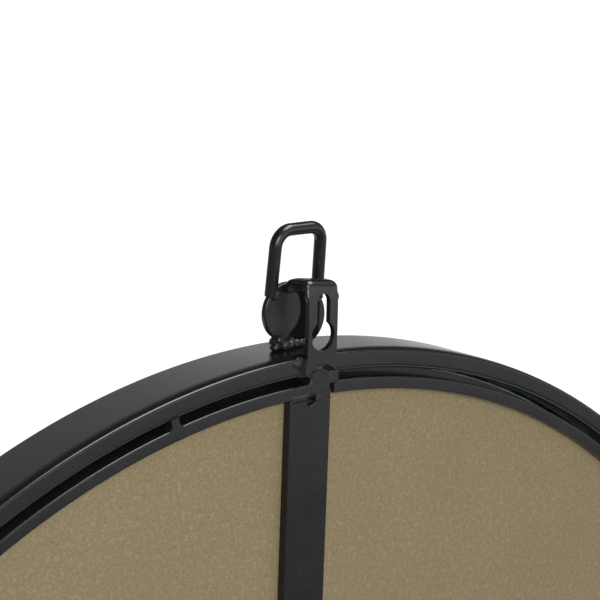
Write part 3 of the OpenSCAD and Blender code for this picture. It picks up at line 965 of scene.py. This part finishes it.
class MIRROR_OT_weld_back(MirrorStep, bpy.types.Operator):
    """Lays the smooth mound below the strap and fills and bridges the groove"""

    bl_idname = "mirror.weld_back"
    bl_label = "Weld the back"

    def execute(self, context):
        bm = bmesh.new()
        mound_skin(bm, steps(-10.6, 12.8, 0.2), steps(-27.0, -7.2, 0.2))
        # The seam of the retaining ring and the brace bar's notch stay open
        seam = [(-8.6, -18.3), (-6.2, -17.9), (-5.2, -18.9), (-5.3, -20.3), (-6.4, -21.9),
                (-8.6, -22.6)]
        notch = arc((NOTCH_X, NOTCH_Z), NOTCH_R, 0, -180, 20)
        notch += [(1.0, -22.6), (1.8, -22.0), (4.2, -22.0), (5.0, -22.6)]
        cutters = [cutter_plate(points, 4.0) for points in (seam, notch)]
        mesh = cut_with(mesh_from(bm), *cutters)
        finish_piece("top_weld_mound", mesh, smooth_weld_coat(), "weld_steel")
        bm = bmesh.new()

        def blunt(v):
            return 0.5 * (1 - abs(v))

        def round_end(v):
            return -1.9 * (1 - sqrt(1 - min(1.0, abs(v) * 1.3) ** 2))

        # The groove's filling below the strap has one blunt and one round end
        groove_plug(bm, -9.9, 3.6, (blunt, round_end))
        # Weld metal and paint run together at the notch's bottom
        floor = arc((NOTCH_X, NOTCH_Z + 0.8), 2.9, 0, 345, 23)
        loft(bm, [[bm.verts.new(on_plane(x, z, h)) for x, z in floor] for h in (-1.8, -2.3)])
        finish_piece("top_weld_fill", mesh_from(bm), smooth_weld_coat(), "weld_steel", "top_weld")
        bm = bmesh.new()

        def flare(v):
            return 1.6 * (1 - min(1.0, -v * 1.25) ** 1.6) if v < 0 else 1.6 - 0.2 * v * v

        for number, angle in enumerate(BRIDGE_ANGLES):
            middle, half = radians(angle) * GROOVE_MID_R, 3.25
            if number:
                half += 0.3 * noise.noise(Vector((number * 3.7, 0, 0)))
            groove_plug(bm, middle - half, middle + half, (flare, flare))
        finish_piece("groove_bridges", mesh_from(bm), sheet_coat(), "weld_steel", "groove_welds")
        return {"FINISHED"}


class MIRROR_OT_weld_hanger(MirrorStep, bpy.types.Operator):
    """Lays the rough welds of the strap, the disc, the loop and the brace bar's foot"""

    bl_idname = "mirror.weld_hanger"
    bl_label = "Weld the hanger"

    def execute(self, context):
        # Place, then the radii across, in depth and upwards
        tacks = [(9.0, -2.3, -9.8, 3.4, 0.9, 2.7)]
        tacks += bead((-7.5, -2.1, -8.4), (-7.6, -2.1, -13.2), 0.8)
        disc_foot = [(8.2, -16.2, -4.6, 3.0, 2.8, 2.9), (9.9, -15.2, -5.8, 2.0, 2.1, 1.6),
                     (5.3, -14.8, -5.6, 2.2, 2.2, 2.2), (6.6, -17.6, -3.0, 1.7, 1.6, 2.1),
                     (8.8, -14.2, -3.4, 1.6, 1.3, 1.9), (4.6, -18.0, -6.0, 1.9, 1.3, 1.6),
                     (2.4, -15.0, -5.4, 1.9, 1.8, 2.4), (-0.4, -15.2, -5.8, 1.9, 1.7, 1.9),
                     (-3.0, -15.4, -5.9, 1.9, 1.9, 1.8), (1.2, -18.0, -6.4, 1.8, 1.1, 1.2),
                     (-4.5, -16.4, -5.9, 2.0, 2.7, 2.0), (-6.6, -16.0, -5.2, 2.1, 2.3, 2.5),
                     (-7.4, -17.6, -5.0, 1.4, 1.3, 1.8)]
        lip = bead((-5.7, -14.4, 15.0), (5.7, -14.4, 15.4), 1.35)
        ends = []
        for way, z in ((1, 12.7), (-1, 9.7)):
            for y in (-15.3, -18.3):
                ends += [(way * 10.5, y, z, 1.3, 0.9, 1.2), (way * 9.4, y, z + 0.9, 1.0, 0.7, 1.0)]
        low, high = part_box("brace_bar")
        # Two runs along the brace bar's foot, 10 mm to each side of its middle
        foot = AXIS_Z - sqrt((RING_BORE_R - 0.2) ** 2 - 10.0 ** 2) - 0.1
        runs = bead((low.x / MM + 1.5, -BACK_DEPTH, foot), (0.8, -BACK_DEPTH, foot), 0.9)
        runs += bead((5.2, -BACK_DEPTH, foot), (high.x / MM - 1.5, -BACK_DEPTH, foot), 0.9)
        for name, node, lumps, voxel, rough, seed in (
                ("strap_foot_lumps", "strap_foot_welds", tacks, 0.2, 0.08, 1.0),
                ("disc_foot_lumps", "disc_foot_welds", disc_foot, 0.2, 0.22, 7.0),
                ("strap_lip_bead", "strap_lip_weld", lip, 0.2, 0.12, 4.0),
                ("loop_end_lumps", "loop_welds", ends, 0.2, 0.12, 9.0),
                ("brace_foot_beads", "brace_welds", runs, 0.25, 0.12, 2.0)):
            mesh = lump_mesh(lumps, voxel, rough, seed)
            finish_piece(name, mesh, weld_coat(), "weld_steel", node)
        return {"FINISHED"}


def make_floor():
    """A wide pale floor that the camera, metal and glass see as white, and that keeps its shadow"""
    low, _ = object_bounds()
    bm = bmesh.new()
    # It ends close behind the mirror, so that the dark steel doesn't show it from below
    outline = ((-17.0, -17.0), (3.5, -17.0), (1.4, -6.0), (1.0, -1.5), (1.0, 0.2), (-17.0, 0.2))
    bm.faces.new([bm.verts.new((x, y, low.z - 0.004)) for x, y in outline])
    mesh = mesh_from(bm, "floor")
    material, n, shader, place, _ = patchy(
        "pale_floor", (3.0, 2.0), (0.80,) * 3, (0.83,) * 3, (0.85, 0.95))
    fill(shader, {"Emission Color": WHITE})
    away = n.add("ShaderNodeVectorMath", operation="LENGTH")
    n.link(place, away, 0)
    glow = n.remap(away.outputs["Value"], 1.0, 4.0, 0.78, 1.0)
    n.link(n.times(seen_plainly(n), glow), shader, "Emission Strength")
    mesh.materials.append(material)
    floor = add_object("floor", mesh)
    floor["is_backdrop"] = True


def seen_plainly(n):
    """1 for rays that show the background: the camera's, and those off metal and through glass"""
    rays = n.add("ShaderNodeLightPath").outputs
    mirrored = n.maths("MAXIMUM", rays["Is Glossy Ray"], rays["Is Transmission Ray"])
    return n.maths("MAXIMUM", rays["Is Camera Ray"], mirrored)


def add_lamp(name, place, size, power):
    """A white softbox that points at the top of the mirror; metres and watts"""
    lamp = bpy.data.lights.new(name, "AREA")
    lamp.shape = "RECTANGLE"
    lamp.size, lamp.size_y = size
    lamp.energy = power
    holder = add_object(name, lamp)
    holder.location = place
    aim = Vector((0, 0, -0.1)) - Vector(place)
    holder.rotation_euler = aim.to_track_quat("-Z", "Y").to_euler()
    return holder


def make_lamps(stage):
    """One softbox above and one behind"""
    # The lamp above only draws highlights, so that the ring throws no long shadow on the board
    rim = add_lamp("rim_softbox", (-0.55, 0.55, 1.55), (1.4, 0.9), stage.rim_power)
    rim.visible_diffuse = False
    add_lamp("key_softbox", (0.95, 1.7, 0.6), (0.9, 0.9), stage.key_power)


def make_world(scene):
    """A pale studio: bright near the horizon, dimmer above, with a dark stretch high up in front"""
    world = bpy.data.worlds.new("studio")
    world.use_nodes = True
    scene.world = world
    tree = world.node_tree
    n = Nodes(tree)
    split = n.add("ShaderNodeSeparateXYZ")
    n.link(n.add("ShaderNodeTexCoord").outputs["Generated"], split, "Vector")
    side, back, rise = split.outputs["X"], split.outputs["Y"], split.outputs["Z"]
    overhead = n.ease(rise, 0.15, 0.55, 0.92, 0.45)
    dark = n.times(n.ease(rise, 0.05, 0.18), n.ease(back, -0.71, -0.62),
                   n.ease(back, -0.10, 0.20, 1.0, 0.0))
    in_front = n.remap(dark, 0.0, 1.0, 1.0, 0.06)
    # Behind the mirror the room is dimmer towards the ground
    low = n.times(n.maths("SUBTRACT", n.ease(rise, -0.31, -0.11, 0.22, 1.95), 1.0),
                  n.ease(back, 0.1, 0.4), n.ease(rise, 0.0, 0.3, 1.0, 0.0))
    # It is dim on the camera's side, and a little at the far end of the other
    near_side = n.ease(side, -0.05, 0.30, 1.0, 0.28)
    far_side = n.ease(side, -0.73, -0.60, 0.66, 1.1)
    level = n.times(overhead, in_front, n.maths("ADD", low, 1.0), near_side, far_side)
    plain = tree.nodes["Background"]
    fill(plain, {"Color": WHITE})
    n.link(level, plain, "Strength")
    seen = n.add("ShaderNodeBackground")
    fill(seen, {"Color": WHITE, "Strength": 1.0})
    either = n.add("ShaderNodeMixShader")
    n.link(n.add("ShaderNodeLightPath").outputs["Is Camera Ray"], either, 0)
    n.link(plain.outputs[0], either, 1)
    n.link(seen.outputs[0], either, 2)
    n.link(either.outputs[0], tree.nodes["World Output"], "Surface")


def make_camera(scene):
    """The camera, as the photograph was taken"""
    stage = scene.mirror_stage
    camera = bpy.data.cameras.new("camera")
    camera.lens = stage.lens
    camera.sensor_width = 36.0
    camera.clip_start, camera.clip_end = 0.01, 80.0
    holder = add_object("camera", camera)
    yaw, pitch, roll = stage.camera_yaw, stage.camera_pitch, stage.camera_roll
    forward = Vector((-sin(yaw) * cos(pitch), -cos(yaw) * cos(pitch), sin(pitch)))
    right = Vector((-cos(yaw), sin(yaw), 0.0))
    up = right.cross(forward)
    right, up = (right * cos(roll) + up * sin(roll), up * cos(roll) - right * sin(roll))
    turn = Matrix((right, up, -forward)).transposed().to_4x4()
    holder.matrix_world = Matrix.Translation(Vector(stage.camera_place)) @ turn
    scene.camera = holder


class MIRROR_OT_set_stage(MirrorStep, bpy.types.Operator):
    """Sets the pale floor, the soft lamps and the camera"""

    bl_idname = "mirror.set_stage"
    bl_label = "Set the stage"

    def execute(self, context):
        scene = context.scene
        make_floor()
        make_lamps(scene.mirror_stage)
        make_world(scene)
        make_camera(scene)
        scene.view_settings.view_transform = "Standard"
        return {"FINISHED"}


class MIRROR_PT_panel(bpy.types.Panel):
    """Lists the mirror's sizes, finishes and steps"""

    bl_label = "Round mirror"
    bl_space_type = "VIEW_3D"
    bl_region_type = "UI"
    bl_category = "Mirror"

    def draw(self, context):
        scene = context.scene
        for group in (scene.mirror_sizes, scene.mirror_finishes, scene.mirror_stage):
            box = self.layout.box()
            for name in group.__annotations__:
                box.prop(group, name)
        for step in STEPS:
            self.layout.operator(step.bl_idname)


STEPS = (MIRROR_OT_turn_frame, MIRROR_OT_silver_glass, MIRROR_OT_dress_back, MIRROR_OT_fold_strap,
         MIRROR_OT_cut_brace, MIRROR_OT_stamp_disc, MIRROR_OT_bend_loop, MIRROR_OT_weld_back,
         MIRROR_OT_weld_hanger, MIRROR_OT_set_stage)
CLASSES = (MirrorSizes, MirrorFinishes, MirrorStage, *STEPS, MIRROR_PT_panel)


def register():
    """Adds the classes and the scene's settings"""
    for one in CLASSES:
        bpy.utils.register_class(one)
    bpy.types.Scene.mirror_sizes = PointerProperty(type=MirrorSizes)
    bpy.types.Scene.mirror_finishes = PointerProperty(type=MirrorFinishes)
    bpy.types.Scene.mirror_stage = PointerProperty(type=MirrorStage)


def unregister():
    """Takes them away again"""
    del bpy.types.Scene.mirror_stage
    del bpy.types.Scene.mirror_finishes
    del bpy.types.Scene.mirror_sizes
    for one in reversed(CLASSES):
        bpy.utils.unregister_class(one)


def main():
    """Builds the pieces and the stage"""
    register()
    bpy.ops.mirror.turn_frame()
    bpy.ops.mirror.silver_glass()
    bpy.ops.mirror.dress_back()
    bpy.ops.mirror.fold_strap()
    bpy.ops.mirror.cut_brace()
    bpy.ops.mirror.stamp_disc()
    bpy.ops.mirror.bend_loop()
    bpy.ops.mirror.weld_back()
    bpy.ops.mirror.weld_hanger()
    bpy.ops.mirror.set_stage()


if __name__ == "__main__":
    main()
